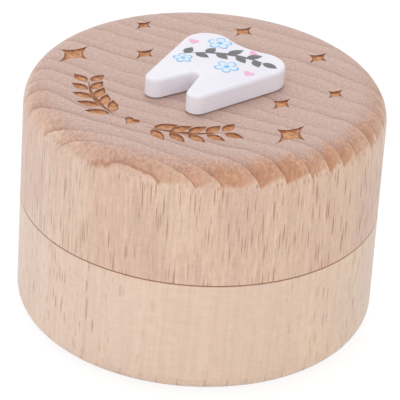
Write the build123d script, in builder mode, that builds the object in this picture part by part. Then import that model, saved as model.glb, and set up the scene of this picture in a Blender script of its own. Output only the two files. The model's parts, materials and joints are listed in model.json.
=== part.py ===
from build123d import *
import os

# Round wooden keepsake box with a push-fit lid and a tooth-shaped plaque glued on the lid.
# Origin: centre of the foot. +Z runs up the turning axis. -Y is the front, below the tooth's roots.
# All lengths are millimetres and all angles are degrees.

# Outside of the closed drum.
drum_radius = 25.0
base_height = 17.3
lid_height = 17.7
lid_top = base_height + lid_height

# Soft turned edges: the wide shoulder of the lid and the smaller round at the foot.
shoulder_radius = 4.0
foot_radius = 3.4
seam_break = 0.12

# Ledge that the lid lands on, the neck inside it above the seam, and the hollow with its floor.
ledge_width = 3.8
neck_wall = 2.2
neck_radius = drum_radius - ledge_width
neck_height = 4.5
neck_lead = 0.5
hollow_radius = neck_radius - neck_wall
hollow_corner_radius = 3.0
floor_thickness = 4.0

# Socket and hollow of the lid, with the clearances of the push fit.
fit_clearance = 0.08
neck_end_gap = 0.3
roof_thickness = 5.0
socket_lead = 0.4
socket_radius = neck_radius + fit_clearance
socket_depth = neck_height + neck_end_gap
roof_underside = lid_top - roof_thickness

# Plaque on the lid: its thickness, the glue under it, and the place and turn it was stuck down at.
plaque_thickness = 2.8
plaque_edge_round = 0.5
glue_thickness = 0.2
glue_length = 12.0
glue_width = 8.4
glue_centre_y = 0.6
plaque_shift_x = 0.8
plaque_shift_y = 1.5
plaque_turn = -2.7

# Half outline of the tooth: arcs and lines, each tangent to the last, from the dip in the crown
# outwards, down the side, round the tip of the root and up its inside to the fork.
crown_dip_y = 6.05
crown_dip_radius = 9.4
crown_dip_angle = 20.0
lobe_radius = 3.57
side_slope_angle = 13.6
side_length = 12.45
root_tip_radius = 1.48
root_inside_angle = 18.5
fork_round = 0.7


# Base: a turned cup of beech. Its wall steps in above the seam to make the neck.
with BuildPart() as base:
    with BuildSketch(Plane.XZ) as base_section:
        with BuildLine():
            foot_curve = CenterArc(
                (drum_radius - foot_radius, foot_radius),
                foot_radius,
                start_angle=270,
                arc_size=90,
            )
            Polyline(
                foot_curve @ 1,
                (drum_radius, base_height - seam_break),
                (drum_radius - seam_break, base_height),
                (neck_radius, base_height),
                (neck_radius, base_height + neck_height - neck_lead),
                (neck_radius - neck_lead, base_height + neck_height),
                (hollow_radius, base_height + neck_height),
                (hollow_radius, floor_thickness),
                (0, floor_thickness),
                (0, 0),
                foot_curve @ 0,
            )
        make_face()
        # The gouge leaves a round where the wall of the hollow meets the floor.
        floor_corner = base_section.vertices().sort_by_distance((hollow_radius, floor_thickness))[0]
        fillet(floor_corner, radius=hollow_corner_radius)
    revolve(axis=Axis.Z)


# Lid: a turned cap of beech, with the socket for the neck and a hollow under the roof.
with BuildPart() as lid:
    with BuildSketch(Plane.XZ) as lid_section:
        with BuildLine():
            shoulder_curve = CenterArc(
                (drum_radius - shoulder_radius, lid_top - shoulder_radius),
                shoulder_radius,
                start_angle=0,
                arc_size=90,
            )
            Polyline(
                shoulder_curve @ 1,
                (0, lid_top),
                (0, roof_underside),
                (hollow_radius, roof_underside),
                (hollow_radius, base_height + socket_depth),
                (socket_radius, base_height + socket_depth),
                (socket_radius, base_height + socket_lead),
                (socket_radius + socket_lead, base_height),
                (drum_radius - seam_break, base_height),
                (drum_radius, base_height + seam_break),
                shoulder_curve @ 0,
            )
        make_face()
        roof_corner = lid_section.vertices().sort_by_distance((hollow_radius, roof_underside))[0]
        fillet(roof_corner, radius=hollow_corner_radius)
    revolve(axis=Axis.Z)


# Outline of the tooth about its own centre line: one half is drawn, the other is its mirror image.
with BuildSketch() as tooth_outline:
    with BuildLine():
        crown_dip = JernArc((0, crown_dip_y), (1, 0), crown_dip_radius, crown_dip_angle)
        lobe = JernArc(
            crown_dip @ 1,
            crown_dip % 1,
            lobe_radius,
            -(crown_dip_angle + 90 + side_slope_angle),
        )
        side = PolarLine(lobe @ 1, side_length, direction=lobe % 1)
        root_tip = JernArc(
            side @ 1,
            side % 1,
            root_tip_radius,
            -(180 - side_slope_angle - root_inside_angle),
        )
        root_inside = PolarLine(
            root_tip @ 1,
            (root_tip @ 1).X,
            direction=root_tip % 1,
            length_mode=LengthMode.HORIZONTAL,
        )
        mirror(about=Plane.YZ)
    make_face()
    fork_corner = tooth_outline.vertices().sort_by_distance(root_inside @ 1)[0]
    fillet(fork_corner, radius=fork_round)


# The glue and the plaque share one place on the flat of the lid, turned a little, as set by hand.
glue_plane = Plane((plaque_shift_x, plaque_shift_y, lid_top)).rotated((0, 0, plaque_turn))
plaque_plane = glue_plane.offset(glue_thickness)

# Glue: one clear drop pressed flat behind the crown, well back from the plaque's edge.
with BuildPart() as tooth_glue_pad:
    with BuildSketch(glue_plane):
        with Locations((0, glue_centre_y)):
            Ellipse(glue_length / 2, glue_width / 2)
    extrude(amount=glue_thickness)


# Plaque: a moulded slab in the outline of a molar, with a soft edge all round its face.
with BuildPart() as tooth_plaque:
    with BuildSketch(plaque_plane):
        add(tooth_outline.sketch)
    extrude(amount=plaque_thickness)
    fillet(tooth_plaque.faces().sort_by(Axis.Z)[-1].edges(), radius=plaque_edge_round)


base.part.label = "base"
lid.part.label = "lid"
tooth_glue_pad.part.label = "tooth_glue_pad"
tooth_plaque.part.label = "tooth_plaque"

os.makedirs("parts", exist_ok=True)
export_step(base.part, "parts/base.step")
export_step(lid.part, "parts/lid.step")
export_step(tooth_glue_pad.part, "parts/tooth_glue_pad.step")
export_step(tooth_plaque.part, "parts/tooth_plaque.step")
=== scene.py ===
import json
from math import cos, pi, radians, sin

import bpy
from mathutils import Matrix, Vector

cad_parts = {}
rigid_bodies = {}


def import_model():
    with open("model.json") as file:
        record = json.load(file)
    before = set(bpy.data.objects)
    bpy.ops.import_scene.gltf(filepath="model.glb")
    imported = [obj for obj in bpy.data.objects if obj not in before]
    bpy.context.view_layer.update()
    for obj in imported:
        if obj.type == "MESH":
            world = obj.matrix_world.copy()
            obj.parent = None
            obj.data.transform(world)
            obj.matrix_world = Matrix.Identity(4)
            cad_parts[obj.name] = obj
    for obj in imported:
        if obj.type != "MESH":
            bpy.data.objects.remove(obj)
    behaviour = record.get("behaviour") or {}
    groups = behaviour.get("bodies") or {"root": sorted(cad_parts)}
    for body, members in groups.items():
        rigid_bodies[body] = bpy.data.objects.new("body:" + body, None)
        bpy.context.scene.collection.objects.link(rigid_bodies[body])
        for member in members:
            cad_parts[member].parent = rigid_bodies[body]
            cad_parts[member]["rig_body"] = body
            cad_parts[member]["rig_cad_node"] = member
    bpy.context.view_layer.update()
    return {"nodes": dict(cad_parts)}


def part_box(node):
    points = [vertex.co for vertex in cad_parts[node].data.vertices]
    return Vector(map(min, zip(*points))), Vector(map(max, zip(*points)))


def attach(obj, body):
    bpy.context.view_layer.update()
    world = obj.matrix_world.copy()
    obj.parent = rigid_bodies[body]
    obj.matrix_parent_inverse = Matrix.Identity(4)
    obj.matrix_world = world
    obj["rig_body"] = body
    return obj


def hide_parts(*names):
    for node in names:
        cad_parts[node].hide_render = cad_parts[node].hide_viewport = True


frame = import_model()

# All lengths in this script are millimetres times this, because Blender works in metres.
mm = 0.001


# Base
# A cup turned from one block of pale beech, with the fibres standing up, sanded and left without
# varnish. Its wall steps in above the seam to make the neck that the lid pushes onto.
drum_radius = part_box("base")[1].x
seam_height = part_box("lid")[0].z

# Where the halves meet they are rubbed brown, and the shade in the seam is painted in with that
# brown:
# how far up and down, how brown, and how far in from the wall the brown begins and is full.
seam_rub_and_shade_reach = 0.17 * mm
seam_rub_and_shade_share = 0.95
rub_and_shade_band = (1.0 * mm, 0.3 * mm)

# How far a block's rings sway, differ from year to year and waver, in millimetres.
ring_sway = 5.0
year_swing = 4.5
ring_waver = 1.0

# How flat a turned surface is, 0 on a wall and 1 on a flat, where each of these begins and ends:
# end grain, the tan edge above the wall, the same edge below the flat, and the loss of flecks.
end_grain_slope = (0.42, 0.85)
tan_above_wall = (0.26, 0.44)
tan_below_flat = (0.72, 1.06)
fleck_slope = (0.2, 0.65)


def linear(red, green, blue):
    """A colour as it is seen on a screen, 0 to 255, as the light that Blender mixes."""
    shares = [channel / 255 for channel in (red, green, blue)]
    return [s / 12.92 if s <= 0.04045 else ((s + 0.055) / 1.055) ** 2.4 for s in shares] + [1.0]


class Recipe:
    """A new material whose nodes are added and joined by name."""

    def __init__(self, name):
        self.material = bpy.data.materials.new(name)
        self.material.use_nodes = True
        self.tree = self.material.node_tree
        self.surface = self.tree.nodes["Principled BSDF"]

    def add(self, kind, inputs, **settings):
        node = self.tree.nodes.new("ShaderNode" + kind)
        for setting, value in settings.items():
            setattr(node, setting, value)
        self.feed(node, inputs)
        return node

    def feed(self, node, inputs):
        for socket, value in inputs.items():
            if isinstance(value, bpy.types.NodeSocket):
                self.tree.links.new(value, node.inputs[socket])
            else:
                node.inputs[socket].default_value = value

    def math(self, operation, first, second=0.0, third=0.0):
        return self.add("Math", {0: first, 1: second, 2: third}, operation=operation).outputs[0]

    def ramp(self, value, start, end, low=0.0, high=1.0):
        """Goes smoothly from low to high as value goes from start to end, and stays there."""
        inputs = {"Value": value, "From Min": start, "From Max": end, "To Min": low, "To Max": high}
        return self.add("MapRange", inputs, interpolation_type="SMOOTHSTEP").outputs[0]

    def centred(self, share):
        """A share from 0 to 1, moved to lie about zero."""
        return self.math("SUBTRACT", share, 0.5)

    def component(self, vector, axis):
        return self.add("SeparateXYZ", {0: vector}).outputs[axis]

    def length(self, vector):
        return self.add("VectorMath", {0: vector}, operation="LENGTH").outputs["Value"]

    def stretch(self, vector, x, y, z):
        return self.add("Mapping", {"Vector": vector, "Scale": (x, y, z)}).outputs[0]

    def turned(self, direction, turn):
        """The direction in the object, for one in a block that was turned by this much."""
        back = {"Vector": direction, "Rotation": [-angle for angle in turn]}
        return self.add("Mapping", back, vector_type="VECTOR").outputs[0]

    def noise(self, vector, detail=2.0, roughness=0.5):
        inputs = {"Vector": vector, "Scale": 1.0, "Detail": detail, "Roughness": roughness}
        return self.add("TexNoise", inputs).outputs["Fac"]

    def mix(self, share, under, over, blend_type="MIX"):
        """Mixes colours, which are a Mix node's inputs 6 and 7 and its output 2."""
        inputs = {"Factor": share, 6: under, 7: over}
        node = self.add("Mix", inputs, data_type="RGBA", blend_type=blend_type)
        return node.outputs[2]

    def finish(self, colour, height, depth, roughness):
        """Joins the colour, the bump and the roughness to the surface."""
        bump = self.add("Bump", {"Height": height, "Distance": depth, "Strength": 1.0})
        self.feed(
            self.surface,
            {"Base Color": colour, "Roughness": roughness, "Normal": bump.outputs[0]},
        )
        return self.material


def beech(
    name,
    tones,
    pith,
    turn,
    ring_spacing,
    ray_size,
    fleck_share,
    fleck_across,
    figure,
    streak_figure,
    narrow_years=None,
):
    """Beech as one solid block: growth rings about the pith, fibres along Z, rays across the rings.

    Lengths are in millimetres of the block, which was turned by these angles before the piece was
    cut from it. fleck_across is how much of a fleck shows where the surface cuts across the rings,
    against 1 where it lies along them. figure and streak_figure are how much fibres and streaks
    lighten and darken the wood. narrow_years is where a run of dry years begins and ends, and how
    many more millimetres of rings it holds.
    """
    wood = Recipe(name)
    coordinates = wood.add("TexCoord", {})
    place = coordinates.outputs["Object"]
    facing = coordinates.outputs["Normal"]
    flatness = wood.math("ABSOLUTE", wood.component(facing, "Z"))
    block = {"Vector": place, "Scale": [1 / mm] * 3, "Rotation": turn}
    block = wood.add("Mapping", block).outputs[0]
    block_x = wood.component(block, "X")

    # Each growth ring goes slowly from pale early wood to dark late wood, and stops at a sharp line.
    across = wood.add("VectorMath", {0: block, 1: pith}, operation="SUBTRACT").outputs[0]
    across = wood.stretch(across, 1, 1, 0)
    from_pith = wood.length(across)
    sway = wood.noise(wood.stretch(block, 0.05, 0.05, 0.02), detail=1.0)
    waver = wood.noise(wood.stretch(block, 0.3, 0.3, 0.03))
    years = wood.add("CombineXYZ", {"X": wood.math("MULTIPLY", from_pith, 0.16)}).outputs[0]
    rings = wood.math("MULTIPLY_ADD", sway, ring_sway, from_pith)
    rings = wood.math("MULTIPLY_ADD", wood.noise(years, detail=1.0), year_swing, rings)
    if narrow_years:
        begin, end, more_rings = narrow_years
        rings = wood.math("ADD", rings, wood.ramp(from_pith, begin, end, 0.0, more_rings))
    rings = wood.math("MULTIPLY_ADD", waver, ring_waver, rings)
    rings = wood.math("DIVIDE", rings, ring_spacing)
    through_ring = wood.math("FRACT", rings)
    ring_number = {"W": wood.math("FLOOR", rings)}
    ring_kind = wood.add("TexWhiteNoise", ring_number, noise_dimensions="1D").outputs["Value"]
    ring_strength = wood.math("MULTIPLY_ADD", ring_kind, 0.6, 0.4)
    slowly = wood.math("MULTIPLY", wood.math("POWER", through_ring, 1.4), 0.45)
    late_wood = wood.math("MULTIPLY_ADD", wood.math("POWER", through_ring, 9.0), 0.55, slowly)
    late_wood = wood.math("MULTIPLY", late_wood, wood.ramp(through_ring, 0.96, 1.0, 1.0, 0.0))
    late_wood = wood.math("MULTIPLY", late_wood, ring_strength)

    # The flats show end grain. On a turned edge it ends ring by ring, in tan wedges: the early wood
    # turns pale first, and the late wood last.
    slope = wood.math("MULTIPLY_ADD", wood.centred(through_ring), 0.24, flatness)
    slope = wood.math("MULTIPLY_ADD", wood.centred(waver), 0.3, slope)
    end_grain = wood.ramp(slope, *end_grain_slope)
    side_grain = wood.math("SUBTRACT", 1.0, end_grain)
    edge_grain = wood.ramp(slope, *tan_above_wall)
    edge_grain = wood.math("MULTIPLY", edge_grain, wood.ramp(slope, *tan_below_flat, 1.0, 0.0))
    edge_grain = wood.math("MULTIPLY", edge_grain, wood.ramp(flatness, 0.94, 1.0, 1.0, 0.0))

    # The rays come out as short dark flecks, on the walls alone, and as a faint level figure.
    outward = wood.add("VectorMath", {0: across}, operation="NORMALIZE").outputs[0]
    end_on = {0: facing, 1: wood.turned(outward, turn)}
    end_on = wood.add("VectorMath", end_on, operation="DOT_PRODUCT").outputs["Value"]
    end_on = wood.math("ABSOLUTE", end_on)
    ray_place = wood.stretch(block, *[1 / size for size in ray_size])
    rays = wood.add("TexVoronoi", {"Vector": ray_place, "Scale": 1.0})
    ray_kind = wood.add("SeparateColor", {0: rays.outputs["Color"]}).outputs[0]
    fleck = wood.ramp(ray_kind, 0.1, 1.0, 0.2, 0.47)
    fleck = wood.math("DIVIDE", rays.outputs["Distance"], fleck)
    fleck = wood.math("MULTIPLY", wood.ramp(fleck, 0.4, 1.0, 1.0, 0.0), side_grain)
    fleck = wood.math("MULTIPLY", fleck, wood.ramp(flatness, *fleck_slope, 1.0, 0.0))
    fleck = wood.math("MULTIPLY", fleck, wood.ramp(ray_kind, 0.1, 1.0, 0.45, 1.0))
    fleck = wood.math("MULTIPLY", fleck, wood.ramp(end_on, 0.2, 0.8, fleck_across, 1.0))
    level_figure = wood.noise(wood.stretch(block, 0.3, 1.5, 2.4))

    # Fibres, pores and streaks run along the block, and so do soft clouds of rosier wood.
    fibres = wood.noise(wood.stretch(block, 3.0, 3.0, 0.12), detail=3.0, roughness=0.7)
    pores = wood.noise(wood.stretch(block, 2.4, 2.4, 0.4), detail=2.5, roughness=0.75)
    streaks = wood.noise(wood.stretch(block, 1.3, 1.3, 0.05), detail=1.5)
    clouds = wood.noise(wood.stretch(block, 0.1, 0.1, 0.04))

    # The wood's colour, painted cool at the block's -X and warm at its +X as light falls, and on it
    # the tan edge, rings and flecks.
    side = wood.mix(wood.ramp(block_x, -20.0, 25.0), tones["painted cool light side"], tones["painted warm light side"])
    colour = wood.mix(wood.ramp(clouds, 0.35, 0.65), side, tones["rosy side"])
    colour = wood.mix(end_grain, colour, tones["end"])
    wedge = wood.math("MULTIPLY", edge_grain, wood.ramp(through_ring, 0.05, 0.75, 0.6, 1.0))
    wedge = wood.math("MULTIPLY", wedge, wood.ramp(ring_kind, 0.0, 1.0, 0.6, 1.0))
    warmth = wood.ramp(block_x, -15.0, 20.0, 0.4, 1.25)
    wedge = wood.math("MULTIPLY", wedge, warmth)
    colour = wood.mix(wedge, colour, tones["edge"])
    late_share = wood.math("MULTIPLY", late_wood, wood.ramp(end_grain, 0.0, 1.0, 0.2, 1.0))
    colour = wood.mix(late_share, colour, tones["late wood"])
    ring_line = wood.ramp(through_ring, 0.86, 0.96)
    ring_line = wood.math("MULTIPLY", ring_line, wood.ramp(through_ring, 0.96, 1.0, 0.45, 0.0))
    colour = wood.mix(wood.math("MULTIPLY", ring_line, edge_grain), colour, tones["ring line"])
    colour = wood.mix(wood.math("MULTIPLY", fleck, fleck_share), colour, tones["fleck"])

    # Pores speckle the end grain most. Fibres and streaks line the walls, lighter and darker.
    pore_figure = wood.math("MULTIPLY_ADD", end_grain, 0.9 - figure, figure)
    pore_figure = wood.math("MULTIPLY_ADD", edge_grain, 0.3, pore_figure)
    light = wood.math("MULTIPLY_ADD", wood.centred(fibres), figure, 1.0)
    light = wood.math("MULTIPLY_ADD", wood.centred(pores), pore_figure, light)
    streak_figure = wood.ramp(end_on, 0.2, 0.8, streak_figure * 0.6, streak_figure)
    streaks = wood.math("MULTIPLY", wood.centred(streaks), streak_figure)
    light = wood.math("MULTIPLY_ADD", streaks, side_grain, light)
    light = wood.math("MULTIPLY", light, wood.ramp(level_figure, 0.25, 0.75, 0.965, 1.03))
    grey = wood.add("CombineColor", {0: light, 1: light, 2: light}).outputs[0]
    colour = wood.mix(1.0, colour, grey, "MULTIPLY")

    # The two halves rub brown where their outer edges meet, and not inside; there the seam's shade is
    # painted in too.
    from_seam = wood.math("SUBTRACT", wood.component(place, "Z"), seam_height)
    from_seam = wood.math("ABSOLUTE", from_seam)
    from_axis = wood.length(wood.stretch(place, 1, 1, 0))
    outer = wood.ramp(from_axis, *[drum_radius - inset for inset in rub_and_shade_band])
    rubbed_and_shaded = wood.ramp(from_seam, 0.0, seam_rub_and_shade_reach, seam_rub_and_shade_share, 0.0)
    rubbed_and_shaded = wood.math("MULTIPLY", rubbed_and_shaded, outer)
    rubbed_and_shaded = wood.math("MULTIPLY", rubbed_and_shaded, wood.ramp(flatness, 0.75, 0.95, 1.0, 0.1))
    colour = wood.mix(rubbed_and_shaded, colour, seam_rub_and_shade_tone)

    # Flecks lie a little below the fibres, and the sanded nap has a faint pale sheen.
    relief = wood.math("MULTIPLY_ADD", fleck, -0.6, wood.math("ADD", pores, fibres))
    wood.surface.inputs["Specular IOR Level"].default_value = 0.5
    wood.surface.inputs["Sheen Weight"].default_value = 0.25
    wood.surface.inputs["Sheen Roughness"].default_value = 0.4
    wood.surface.inputs["Sheen Tint"].default_value = linear(235, 245, 255)
    return wood.finish(colour, relief, 0.02 * mm, wood.ramp(fibres, 0.2, 0.8, 0.48, 0.6))


# Brown of the rubbed seam, which also serves as painted shade in the seam gap.
seam_rub_and_shade_tone = linear(140, 78, 34)
base_tones = {
    # The cool and warm sides are painted light, towards the block's -X and +X.
    "painted cool light side": linear(226, 199, 181),
    "painted warm light side": linear(231, 204, 178),
    "rosy side": linear(226, 198, 178),
    "end": linear(222, 193, 174),
    "edge": linear(234, 205, 180),
    "late wood": linear(196, 158, 134),
    "ring line": linear(190, 146, 116),
    "fleck": linear(180, 138, 116),
}
base = frame["nodes"]["base"]
base.data.materials[0] = beech(
    "pale_beech",
    base_tones,
    pith=(132, 0, 0),
    turn=(radians(1), radians(-1), radians(-33)),
    ring_spacing=2.8,
    ray_size=(4.5, 0.27, 3.2),
    fleck_share=0.72,
    fleck_across=0.12,
    figure=0.16,
    streak_figure=0.2,
)


# Lid
# A cap turned from a rosier block of beech, with a wide soft shoulder, sanded and left bare. Inside,
# a socket grips the neck of the base, and above it a hollow reaches up to the roof.
lid_foot, lid_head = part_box("lid")
lid_top = lid_head.z
lid_height = lid_head.z - lid_foot.z
round_steps = 192
shoulder_radius = 4.0 * mm
shoulder_steps = 14
seam_break = 0.12 * mm
socket_radius = 21.28 * mm
socket_depth = 4.8 * mm
socket_lead = 0.4 * mm
hollow_radius = 19.0 * mm
roof_thickness = 5.0 * mm
hollow_corner_radius = 3.0 * mm
hollow_corner_steps = 8
surface_tolerance = 0.01 * mm
merge_distance = 0.001 * mm


def make_active(piece):
    bpy.ops.object.select_all(action="DESELECT")
    piece.select_set(True)
    bpy.context.view_layer.objects.active = piece


def start_editing(piece, mode):
    """Makes the piece the active one, with none of its vertices, edges and faces selected."""
    make_active(piece)
    bpy.ops.object.mode_set(mode="EDIT")
    bpy.ops.mesh.select_mode(type=mode)
    bpy.ops.mesh.select_all(action="DESELECT")
    bpy.ops.object.mode_set(mode="OBJECT")


def pick(elements, test):
    """Selects what the test accepts, and goes into edit mode with it."""
    for element in elements:
        element.select = test(element)
    bpy.ops.object.mode_set(mode="EDIT")


def pick_flat_face(piece, z):
    """Selects the level face at this height whose middle is on the turning axis."""
    start_editing(piece, "FACE")
    pick(
        piece.data.polygons,
        lambda face: abs(face.normal.z) > 0.99
        and abs(face.center.z - z) < surface_tolerance
        and face.center.xy.length < surface_tolerance,
    )


def pick_ring(piece, z, radius):
    """Selects the ring of edges at this height and distance from the turning axis."""
    points = piece.data.vertices
    start_editing(piece, "EDGE")
    pick(
        piece.data.edges,
        lambda edge: all(
            abs(points[i].co.z - z) < surface_tolerance
            and abs(points[i].co.xy.length - radius) < surface_tolerance
            for i in edge.vertices
        ),
    )


def bevel_ring(piece, z, radius, size, steps):
    """Rounds the ring of edges in several steps, or breaks it flat in one."""
    pick_ring(piece, z, radius)
    bpy.ops.mesh.bevel(offset=size, segments=steps, profile=0.5, affect="EDGES")
    bpy.ops.object.mode_set(mode="OBJECT")


def sink_face(piece, z, radius_change, depth):
    """Insets the flat round face at this height and moves what is inside into the block."""
    pick_flat_face(piece, z)
    bpy.ops.mesh.inset(thickness=radius_change)
    bpy.ops.mesh.extrude_region_move(TRANSFORM_OT_translate={"value": (0, 0, depth)})
    bpy.ops.object.mode_set(mode="OBJECT")


def finish_shape(piece, smooth_angle):
    """Merges doubles, points the faces outwards and shades the round stretches smooth."""
    start_editing(piece, "VERT")
    bpy.ops.object.mode_set(mode="EDIT")
    bpy.ops.mesh.select_all(action="SELECT")
    bpy.ops.mesh.remove_doubles(threshold=merge_distance)
    bpy.ops.mesh.normals_make_consistent(inside=False)
    bpy.ops.object.mode_set(mode="OBJECT")
    bpy.ops.object.shade_smooth_by_angle(angle=smooth_angle)
    weights = piece.modifiers.new("even_shading", "WEIGHTED_NORMAL")
    weights.keep_sharp = True
    weights.weight = 100
    bpy.ops.object.modifier_apply(modifier=weights.name)


def settle(piece):
    """Puts the piece's place into its mesh, so that its object sits at the origin."""
    make_active(piece)
    bpy.ops.object.transform_apply(location=True, rotation=True, scale=True)


bpy.ops.object.select_all(action="DESELECT")
bpy.ops.mesh.primitive_cylinder_add(
    vertices=round_steps,
    radius=drum_radius,
    depth=lid_height,
    location=(0, 0, seam_height + lid_height / 2),
)
lid = bpy.context.object
lid.name = "engraved_lid"
settle(lid)
sink_face(lid, seam_height, drum_radius - socket_radius, socket_depth)
sink_face(
    lid,
    seam_height + socket_depth,
    socket_radius - hollow_radius,
    lid_top - roof_thickness - seam_height - socket_depth,
)
bevel_ring(lid, lid_top, drum_radius, shoulder_radius, shoulder_steps)
bevel_ring(lid, seam_height, drum_radius, seam_break, 2)
bevel_ring(lid, seam_height, socket_radius, socket_lead, 1)
bevel_ring(
    lid, lid_top - roof_thickness, hollow_radius, hollow_corner_radius, hollow_corner_steps
)

lid_tones = {
    # The cool and warm sides are painted light, towards the block's -X and +X.
    "painted cool light side": linear(223, 199, 181),
    "painted warm light side": linear(223, 190, 165),
    "rosy side": linear(217, 183, 163),
    "end": linear(200, 168, 155),
    "edge": linear(201, 146, 111),
    "late wood": linear(162, 120, 102),
    "ring line": linear(164, 104, 76),
    "fleck": linear(164, 106, 76),
}
lid.data.materials.append(
    beech(
        "rosy_beech",
        lid_tones,
        pith=(-37, 311.6, 0),
        turn=(0, 0, 0),
        ring_spacing=3.1,
        ray_size=(0.28, 0.28, 5.0),
        fleck_share=0.66,
        fleck_across=1.5,
        figure=0.46,
        streak_figure=0.18,
        narrow_years=(334.5, 338.5, 3.4),
    )
)


# Engraving
# Four-pointed stars round the plaque, and below it a garland of two leafy sprays. A laser burnt them
# about a fifth of a millimetre deep: the rim is charred dark, and the floor is a lighter brown.
char_depth = 0.13 * mm
floor_depth = 0.22 * mm
cutter_rise = 1.0 * mm
curve_steps = 10


def draw_outline(name, anchors):
    """Draws a closed flat curve. An anchor is its point and the handles before and after it."""
    bpy.ops.object.select_all(action="DESELECT")
    bpy.ops.curve.primitive_bezier_circle_add()
    outline = bpy.context.object
    outline.name = name
    spline = outline.data.splines[0]
    spline.bezier_points.add(len(anchors) - len(spline.bezier_points))
    for anchor, points in zip(spline.bezier_points, anchors):
        place, before, after = [(*(point * mm), 0) for point in points]
        anchor.handle_left_type = anchor.handle_right_type = "FREE"
        anchor.co = place
        anchor.handle_left = before
        anchor.handle_right = after
    outline.data.resolution_u = curve_steps
    bpy.ops.object.convert(target="MESH")
    return bpy.context.object


def raise_outline(piece, low, high):
    """Fills the outline and makes it a plate between two heights."""
    start_editing(piece, "VERT")
    bpy.ops.object.mode_set(mode="EDIT")
    bpy.ops.mesh.select_all(action="SELECT")
    bpy.ops.mesh.remove_doubles(threshold=merge_distance)
    bpy.ops.mesh.edge_face_add()
    bpy.ops.transform.translate(value=(0, 0, low))
    bpy.ops.mesh.extrude_region_move(TRANSFORM_OT_translate={"value": (0, 0, high - low)})
    bpy.ops.mesh.select_all(action="SELECT")
    bpy.ops.mesh.normals_make_consistent(inside=False)
    bpy.ops.object.mode_set(mode="OBJECT")


def join(pieces):
    """Joins the pieces into the first one."""
    make_active(pieces[0])
    for piece in pieces:
        piece.select_set(True)
    bpy.ops.object.join()
    return bpy.context.object


def star_anchors(height, width, waist):
    """A four-pointed star. Its sides are straight at a waist of 1, and curve in more below that."""
    tips = [Vector((0, height / 2)), Vector((width / 2, 0))]
    tips += [-tip for tip in tips]
    return [(tip, tip * waist, tip * waist) for tip in tips]


def leaf_anchors(length, width):
    """A pointed leaf from its foot at zero up to its tip, widest a little below the middle."""
    widest = length * 0.45
    side = width / 2
    reach = length * 0.24
    return [
        ((0, 0), (side * 0.7, widest * 0.25), (-side * 0.7, widest * 0.25)),
        ((-side, widest), (-side, widest - reach), (-side, widest + reach)),
        ((0, length), (-side * 0.25, length * 0.86), (side * 0.25, length * 0.86)),
        ((side, widest), (side, widest + reach), (side, widest - reach)),
    ]


def stem_anchors(centre, radius, start, end, width):
    """A stem curved about a centre, pointed at both ends and widest halfway."""
    middle = (start + end) / 2
    reach = radius * (end - start) / 6
    anchors = []
    for angle, distance, before, after in (
        (start, radius, reach, reach),
        (middle, radius + width / 2, -reach, reach),
        (end, radius, -reach, -reach),
        (middle, radius - width / 2, reach, -reach),
    ):
        place = centre + distance * Vector((cos(angle), sin(angle)))
        along = Vector((-sin(angle), cos(angle)))
        anchors.append((place, place + before * along, place + after * along))
    return anchors


def heart_anchors(size):
    """A small heart, from its point up one side, into the notch and down the other side."""
    half = size / 2
    return [
        ((0, -half), (half * 0.35, -half * 0.45), (-half * 0.35, -half * 0.45)),
        ((-half, half * 0.35), (-half, -half * 0.1), (-half, half * 0.85)),
        ((0, half * 0.45), (-half * 0.15, half), (half * 0.15, half)),
        ((half, half * 0.35), (half, half * 0.85), (half, -half * 0.1)),
    ]


def place_anchors(anchors, place, turn=0.0):
    """The same outline, turned and moved to its place."""
    turning = Matrix.Rotation(turn, 2)
    return [[turning @ Vector(point) + Vector(place) for point in anchor] for anchor in anchors]


# Of each star, its place on the flat of the lid, and its height and width over the tips. These and
# all other outlines are drawn in millimetres.
stars = [
    ((-5.2, 16.4), 4.8, 3.4),
    ((7.4, 16.45), 4.8, 3.4),
    ((-17.0, 8.6), 4.0, 2.8),
    ((15.3, 8.8), 4.0, 2.8),
    ((-11.5, 1.3), 4.8, 3.3),
    ((11.4, 1.35), 4.8, 3.3),
    ((-18.8, -5.35), 7.5, 5.1),
    ((17.3, -5.2), 7.5, 5.1),
]
star_waist = 0.47
star_floor_waist = 0.43

# The two sprays bend about one centre and leave a gap for the heart. Their leaves stand in pairs a
# little off the stem, and get shorter towards its end.
garland_centre = Vector((-0.95, -2.6))
garland_radius = 13.8
garland_half_angle = radians(57)
garland_half_gap = radians(7)
stem_width = 0.7
leaf_pairs = 5
first_pair_step = 0.6
leaf_length = 3.6
leaf_shrink_share = 0.25
leaf_width = 1.5
leaf_spread = radians(40)
leaf_off_stem = 0.45
heart_place = (-0.95, -16.2)
heart_size = 2.2

# The floors are smaller than what is charred, so that a rim this wide is left round them. The
# sharper a point is, the more is taken off it.
rim_width = 0.14
star_floor_trim = (rim_width * 7.2, rim_width * 4.8)
leaf_floor_trim = (rim_width * 5, rim_width * 2.4)
leaf_floor_start = leaf_off_stem + rim_width * 2.3
heart_floor_trim = rim_width * 3

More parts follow.
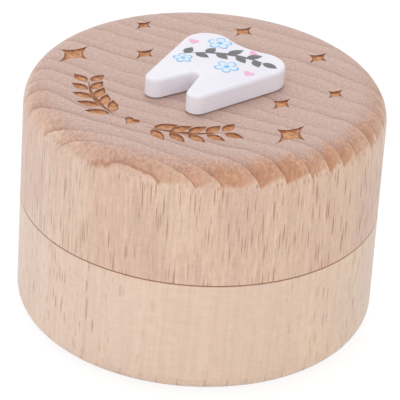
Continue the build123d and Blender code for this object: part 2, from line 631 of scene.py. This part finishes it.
char_outlines = []
floor_outlines = []
for place, height, width in stars:
    char_outlines.append(place_anchors(star_anchors(height, width, star_waist), place))
    floor_size = (height - star_floor_trim[0], width - star_floor_trim[1])
    floor_outlines.append(place_anchors(star_anchors(*floor_size, star_floor_waist), place))
char_outlines.append(place_anchors(heart_anchors(heart_size), heart_place))
floor_outlines.append(place_anchors(heart_anchors(heart_size - heart_floor_trim), heart_place))
for side in (-1, 1):
    stem_start = -pi / 2 + side * garland_half_gap
    stem_end = -pi / 2 + side * garland_half_angle
    char_outlines.append(
        stem_anchors(garland_centre, garland_radius, stem_start, stem_end, stem_width)
    )
    for pair in range(leaf_pairs):
        share = (pair + first_pair_step) / leaf_pairs
        angle = stem_start + (stem_end - stem_start) * share
        foot = garland_centre + garland_radius * Vector((cos(angle), sin(angle)))
        heading = angle if side > 0 else angle + pi
        length = leaf_length * (1 - leaf_shrink_share * share)
        for spread in (-leaf_spread, leaf_spread):
            turn = heading + spread
            way = Vector((-sin(turn), cos(turn)))
            leaf = leaf_anchors(length, leaf_width)
            char_outlines.append(place_anchors(leaf, foot + way * leaf_off_stem, turn))
            leaf = leaf_anchors(length - leaf_floor_trim[0], leaf_width - leaf_floor_trim[1])
            floor_outlines.append(place_anchors(leaf, foot + way * leaf_floor_start, turn))


def cut(block, outlines, depth, material):
    """Cuts plates of these outlines out of the flat top, and gives the cut faces this material."""
    plates = []
    for number, anchors in enumerate(outlines):
        plate = draw_outline(f"cutter_{number}", anchors)
        raise_outline(plate, lid_top - depth, lid_top + cutter_rise)
        plate.data.materials.append(material)
        plates.append(plate)
    cutter = join(plates)
    trim = block.modifiers.new("engrave", "BOOLEAN")
    trim.operation = "DIFFERENCE"
    trim.solver = "EXACT"
    trim.use_self = True
    trim.material_mode = "TRANSFER"
    trim.object = cutter
    bpy.context.view_layer.objects.active = block
    bpy.ops.object.modifier_apply(modifier=trim.name)
    bpy.data.objects.remove(cutter)


def charred(name, dark, light, roughness):
    """Burnt beech: soot and bare brown wood in short streaks."""
    burn = Recipe(name)
    coordinates = burn.add("TexCoord", {}).outputs["Object"]
    block = burn.stretch(coordinates, 1 / mm, 1 / mm, 1 / mm)
    scorch = burn.noise(burn.stretch(block, 0.9, 1.6, 1.0), detail=3.0, roughness=0.6)
    lines = burn.noise(burn.stretch(block, 5.0, 1.2, 2.0))
    scorch = burn.math("MULTIPLY_ADD", burn.centred(lines), 0.5, scorch)
    colour = burn.mix(burn.ramp(scorch, 0.3, 0.7), dark, light)
    burn.surface.inputs["Specular IOR Level"].default_value = 0.2
    return burn.finish(colour, scorch, 0.03 * mm, roughness)


char_material = charred("charred_rim", linear(138, 88, 62), linear(176, 122, 90), 0.7)
floor_material = charred("burnt_floor", linear(176, 116, 78), linear(212, 160, 120), 0.65)
cut(lid, char_outlines, char_depth, char_material)
cut(lid, floor_outlines, floor_depth, floor_material)
finish_shape(lid, smooth_angle=radians(32))
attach(lid, "lid")
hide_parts("lid")


# Glue under the plaque
# A drop of clear craft glue, pressed flat when the plaque was set down by hand, and dried hard. It
# shows only as a thin line round the foot of the plaque.
glue = Recipe("dried_glue")
glue_place = glue.add("TexCoord", {}).outputs["Object"]
glue_waves = glue.noise(glue.stretch(glue_place, 0.6 / mm, 0.6 / mm, 0.6 / mm))
glue_colour = glue.mix(glue.ramp(glue_waves, 0.3, 0.7), linear(214, 200, 176), linear(232, 222, 204))
glue.surface.inputs["Transmission Weight"].default_value = 0.4
glue.finish(glue_colour, glue_waves, 0.02 * mm, glue.ramp(glue_waves, 0.3, 0.7, 0.15, 0.3))
glue_pad = frame["nodes"]["tooth_glue_pad"]
glue_pad.data.materials[0] = glue.material


# Plaque
# A slab of white resin cast in the outline of a molar, with softly rounded edges. It is copied from
# the CAD solid and pressed down by the thickness of the ink, which then ends flush with the solid.
plaque_foot, plaque_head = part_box("tooth_plaque")
ink_thickness = 0.05 * mm
plaque = frame["nodes"]["tooth_plaque"].copy()
plaque.data = plaque.data.copy()
plaque.name = "white_tooth"
bpy.context.scene.collection.objects.link(plaque)
plaque.parent = None
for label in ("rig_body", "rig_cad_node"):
    del plaque[label]
start_editing(plaque, "VERT")
bpy.ops.mesh.customdata_custom_splitnormals_clear()
bpy.ops.object.mode_set(mode="EDIT")
bpy.ops.mesh.select_all(action="SELECT")
bpy.ops.mesh.remove_doubles(threshold=merge_distance)
bpy.ops.mesh.dissolve_limited(angle_limit=radians(0.3))
bpy.ops.mesh.select_all(action="SELECT")
plaque_height = plaque_head.z - plaque_foot.z
bpy.ops.transform.resize(
    value=(1, 1, 1 - ink_thickness / plaque_height), center_override=(0, 0, plaque_foot.z)
)
bpy.ops.object.mode_set(mode="OBJECT")
finish_shape(plaque, smooth_angle=radians(30))

resin = Recipe("white_resin")
resin_place = resin.add("TexCoord", {}).outputs["Object"]
resin_clouds = resin.noise(resin.stretch(resin_place, 0.12 / mm, 0.12 / mm, 0.12 / mm))
resin_dimples = resin.noise(resin.stretch(resin_place, 2.0 / mm, 2.0 / mm, 2.0 / mm))
resin_colour = resin.mix(
    resin.ramp(resin_clouds, 0.3, 0.7), linear(234, 231, 241), linear(240, 238, 245)
)
resin.surface.inputs["Subsurface Weight"].default_value = 0.15
resin.surface.inputs["Subsurface Radius"].default_value = (1.0, 0.9, 0.9)
resin.surface.inputs["Subsurface Scale"].default_value = 0.8 * mm
resin.finish(
    resin_colour, resin_dimples, 0.004 * mm, resin.ramp(resin_clouds, 0.3, 0.7, 0.3, 0.38)
)
plaque.data.materials.clear()
plaque.data.materials.append(resin.material)
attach(plaque, "lid")
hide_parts("tooth_plaque")


# Print on the plaque
# A flowering sprig printed on the resin in thick ink: dark leaves and stem, blue blossoms and small
# pink hearts. The printer lays the ink down in passes, and what got more of them stands higher.
plaque_place = (0.8 * mm, 1.5 * mm)
plaque_turn = radians(-2.7)
ink_floor = plaque_head.z - ink_thickness
ink_passes = 5
ink_pass = ink_thickness / ink_passes


def ink(name, dark, light):
    """Printed ink: nearly even, with the slight mottling of a printed dot screen."""
    print_ink = Recipe(name)
    place = print_ink.add("TexCoord", {}).outputs["Object"]
    mottle = print_ink.noise(print_ink.stretch(place, 3 / mm, 3 / mm, 3 / mm))
    colour = print_ink.mix(print_ink.ramp(mottle, 0.3, 0.7), dark, light)
    roughness = print_ink.ramp(mottle, 0.3, 0.7, 0.35, 0.45)
    return print_ink.finish(colour, mottle, 0.004 * mm, roughness)


inks = {
    "charcoal": ink("charcoal_ink", linear(96, 94, 98), linear(112, 110, 114)),
    "sky": ink("sky_ink", linear(214, 230, 246), linear(222, 236, 249)),
    "blue": ink("blue_ink", linear(120, 188, 236), linear(136, 198, 240)),
    "pink": ink("pink_ink", linear(238, 172, 208), linear(244, 186, 216)),
}


def petal_anchors(petals, outer, inner):
    """A blossom in one closed line: round petals that meet at notches near the middle."""
    step = 2 * pi / petals
    anchors = []
    for petal in range(petals):
        notch = petal * step
        tip = notch + step / 2
        to_notch = Vector((cos(notch), sin(notch)))
        flank = to_notch * (inner + (outer - inner) * 0.6)
        anchors.append((to_notch * inner, flank, flank))
        end = Vector((cos(tip), sin(tip))) * outer
        along = Vector((-sin(tip), cos(tip))) * outer * 0.3
        anchors.append((end, end - along, end + along))
    return anchors


def round_anchors(radius):
    """A circle of four curves, with the handles that make it round."""
    reach = radius * 0.5523
    return [
        ((radius, 0), (radius, -reach), (radius, reach)),
        ((0, radius), (reach, radius), (-reach, radius)),
        ((-radius, 0), (-radius, reach), (-radius, -reach)),
        ((0, -radius), (-reach, -radius), (reach, -radius)),
    ]


# The sprig is drawn on the plaque's own axes, from a middle between the roots and the crown. Its
# stem curves about a centre below it, from its end at the right to its foot at the left.
sprig_centre = Vector((5.0, -8.4))
sprig_radius = 12.0
sprig_stem_end = radians(82)
sprig_stem_foot = radians(147)
sprig_stem_width = 0.6

# Of each leaf, how far along the leafy part of the stem it grows, on which side, and its length.
last_leaf_angle = radians(88)
sprig_leaf_width = 1.3
sprig_leaf_spread = radians(46)
sprig_leaves = [
    (0.04, 1, 2.2), (0.16, -1, 2.3), (0.28, 1, 2.0), (0.4, -1, 2.3), (0.52, 1, 2.7), (0.63, -1, 2.4),
    (0.74, 1, 2.4), (0.84, -1, 2.2), (0.95, 0, 2.4),
]

# Of each blossom and heart, its place, radius or size, and turn. A blossom is pale in a blue outline,
# round a blue eye.
blossoms = [((-3.2, 4.3), 1.75, 0.2), ((1.9, -0.8), 1.75, 0.9), ((-4.1, -2.8), 1.4, 0.5)]
petal_count = 5
notch_share = 0.42
petal_outline = 0.24
notch_outline = 0.2
eye_share = 0.24
hearts = [((-6.2, 2.2), 1.5, 0.35), ((1.95, 5.05), 1.25, -0.2), ((5.3, -0.4), 1.5, 0.1)]

prints = []


def stamp(colour, passes, anchors, place=(0, 0), turn=0.0):
    """Prints this outline, as thick as this many passes of the printer."""
    print_piece = draw_outline(f"print_{len(prints)}", place_anchors(anchors, place, turn))
    raise_outline(print_piece, 0, passes * ink_pass)
    print_piece.data.materials.append(inks[colour])
    prints.append(print_piece)


stem = stem_anchors(
    sprig_centre, sprig_radius, sprig_stem_end, sprig_stem_foot, sprig_stem_width
)
stamp("charcoal", 1, stem)
for share, side, length in sprig_leaves:
    angle = sprig_stem_foot + (last_leaf_angle - sprig_stem_foot) * share
    foot = sprig_centre + sprig_radius * Vector((cos(angle), sin(angle)))
    turn = angle + pi + side * sprig_leaf_spread
    stamp("charcoal", 2, leaf_anchors(length, sprig_leaf_width), foot, turn)
for place, radius, turn in blossoms:
    notch = radius * notch_share
    stamp("blue", 3, petal_anchors(petal_count, radius, notch), place, turn)
    pale = petal_anchors(petal_count, radius - petal_outline, notch - notch_outline)
    stamp("sky", 4, pale, place, turn)
    stamp("blue", 5, round_anchors(radius * eye_share), place)
for place, size, turn in hearts:
    stamp("pink", 3, heart_anchors(size), place, turn)

sprig = join(prints)
sprig.name = "printed_sprig"
sprig.rotation_euler.z = plaque_turn
sprig.location = (*plaque_place, ink_floor)
settle(sprig)
bpy.ops.object.shade_smooth_by_angle(angle=radians(30))
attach(sprig, "lid")


# Table, light and camera
# The box stands on a white table under soft studio light from above and in front. To the eye, most
# of the table's white is a glow of its own, and the rest is lit paint, which keeps the box's shadow.
table_size = 3.0
table_gap = 0.02 * mm
table_glow = 1.08
table_glow_share = 0.8
room_light_strength = 0.77
bpy.ops.object.select_all(action="DESELECT")
bpy.ops.mesh.primitive_plane_add(size=table_size, location=(0, 0, -table_gap))
table = bpy.context.object
table.name = "table"
settle(table)


def seen_directly(tree):
    """1 for the eye, for reflections and for what is seen through glass, and 0 for other light."""
    path = tree.nodes.new("ShaderNodeLightPath")
    seen = path.outputs["Is Camera Ray"]
    for ray in ("Is Glossy Ray", "Is Transmission Ray"):
        either = tree.nodes.new("ShaderNodeMath")
        either.operation = "MAXIMUM"
        tree.links.new(seen, either.inputs[0])
        tree.links.new(path.outputs[ray], either.inputs[1])
        seen = either.outputs[0]
    return seen


paint = Recipe("white_table")
paint_place = paint.add("TexCoord", {}).outputs["Object"]
paint_grain = paint.noise(paint.stretch(paint_place, 0.2 / mm, 0.2 / mm, 0.2 / mm))
paint.finish(
    paint.mix(paint_grain, linear(246, 246, 246), linear(250, 250, 250)),
    paint_grain,
    0.01 * mm,
    paint.ramp(paint_grain, 0.0, 1.0, 0.85, 0.95),
)
paint.surface.inputs["Specular IOR Level"].default_value = 0.0
glow = paint.add("Emission", {"Color": (1, 1, 1, 1), "Strength": table_glow})
shown = paint.math("MULTIPLY", seen_directly(paint.tree), table_glow_share)
blend = paint.add("MixShader", {0: shown, 1: paint.surface.outputs[0], 2: glow.outputs[0]})
paint.feed(paint.tree.nodes["Material Output"], {"Surface": blend.outputs[0]})
table.data.materials.append(paint.material)

room = bpy.data.worlds.new("studio")
bpy.context.scene.world = room
room.use_nodes = True
room_tree = room.node_tree
room_light = room_tree.nodes["Background"]
room_light.inputs["Color"].default_value = (1.0, 1.0, 1.0, 1.0)
room_light.inputs["Strength"].default_value = room_light_strength
room_white = room_tree.nodes.new("ShaderNodeBackground")
room_white.inputs["Strength"].default_value = 1.0
room_mix = room_tree.nodes.new("ShaderNodeMixShader")
room_tree.links.new(seen_directly(room_tree), room_mix.inputs[0])
room_tree.links.new(room_light.outputs[0], room_mix.inputs[1])
room_tree.links.new(room_white.outputs[0], room_mix.inputs[2])
room_tree.links.new(room_mix.outputs[0], room_tree.nodes["World Output"].inputs["Surface"])


def add_softbox(name, place, size, power, colour=(1.0, 1.0, 1.0)):
    """A square soft light that looks at the box."""
    lamp = bpy.data.lights.new(name, "AREA")
    lamp.size = size
    lamp.energy = power
    lamp.color = colour
    softbox = bpy.data.objects.new(name, lamp)
    bpy.context.scene.collection.objects.link(softbox)
    softbox.location = place
    softbox.rotation_euler = (-Vector(place)).to_track_quat("-Z", "Y").to_euler()


add_softbox("key_softbox", (-0.45, 0.4, 1.0), 0.8, 3.3)
add_softbox("front_softbox", (0.45, -0.9, 0.28), 1.4, 3.62)
add_softbox("window_softbox", (-0.95, -0.45, 0.35), 0.8, 1.1, (0.8, 0.92, 1.0))

# The camera looks down on the box from the side of the roots, a little from the right, through a
# long lens.
camera_distance = 421.68 * mm
camera_height_angle = radians(28.966)
camera_side_angle = radians(33.44)
camera_roll = radians(3.752)
camera_slide = Vector((0.067 * mm, -0.883 * mm, 0))
lens = bpy.data.cameras.new("camera")
lens.lens = 271.87
lens.sensor_width = 36.0
lens.clip_start = 10 * mm
lens.clip_end = 10.0
camera = bpy.data.objects.new("camera", lens)
bpy.context.scene.collection.objects.link(camera)
aim = (
    Matrix.Rotation(camera_side_angle, 4, "Z")
    @ Matrix.Rotation(pi / 2 - camera_height_angle, 4, "X")
    @ Matrix.Rotation(camera_roll, 4, "Z")
)
middle = Vector((0, 0, lid_top / 2))
stand = aim @ (camera_slide + Vector((0, 0, camera_distance)))
camera.matrix_world = Matrix.Translation(middle + stand) @ aim
bpy.context.scene.camera = camera
bpy.context.scene.view_settings.view_transform = "Standard"
